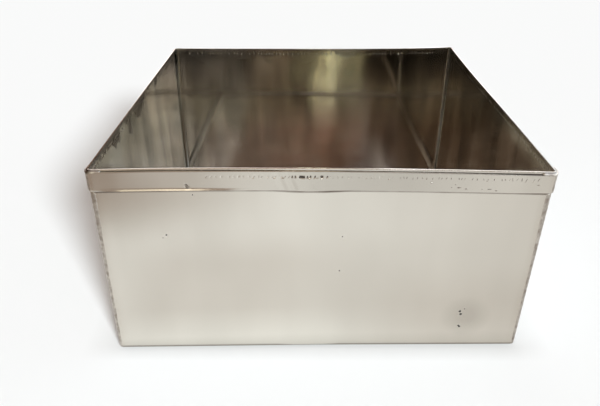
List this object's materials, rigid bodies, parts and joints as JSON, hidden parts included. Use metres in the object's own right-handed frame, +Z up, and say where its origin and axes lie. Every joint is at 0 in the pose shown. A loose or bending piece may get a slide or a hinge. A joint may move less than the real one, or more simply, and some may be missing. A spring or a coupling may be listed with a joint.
{
  "type": "square cake pan",
  "caption": "Deep square cake pan of thin sheet steel: upright walls welded at rounded corners, flat base, open top and a flat band seam welded round the rim",
  "frame": {"origin": "centre of the underside, on the plane that the pan stands on", "axes": "+Z up to the open top, front wall towards -Y, +X to the right when facing the front wall"},
  "size_m": [0.205, 0.205, 0.1018],
  "materials": {
    "sheet_steel": "mill-finish bare steel sheet, lightly scuffed",
    "weld_steel": "rippled weld metal, left as welded and wire brushed"
  },
  "bodies": {
    "root": {"base_panel": "sheet_steel", "front_wall": "sheet_steel", "front_rim_band": "sheet_steel", "front_band_seam": "weld_steel", "front_base_weld": "weld_steel", "right_wall": "sheet_steel", "right_rim_band": "sheet_steel", "right_band_seam": "weld_steel", "right_base_weld": "weld_steel", "back_wall": "sheet_steel", "back_rim_band": "sheet_steel", "back_band_seam": "weld_steel", "back_base_weld": "weld_steel", "left_wall": "sheet_steel", "left_rim_band": "sheet_steel", "left_band_seam": "weld_steel", "left_base_weld": "weld_steel", "back_right_corner_weld": "weld_steel", "back_right_rim_weld": "weld_steel", "back_left_corner_weld": "weld_steel", "back_left_rim_weld": "weld_steel", "front_left_corner_weld": "weld_steel", "front_left_rim_weld": "weld_steel", "front_right_corner_weld": "weld_steel", "front_right_rim_weld": "weld_steel"}
  },
  "joints": []
}
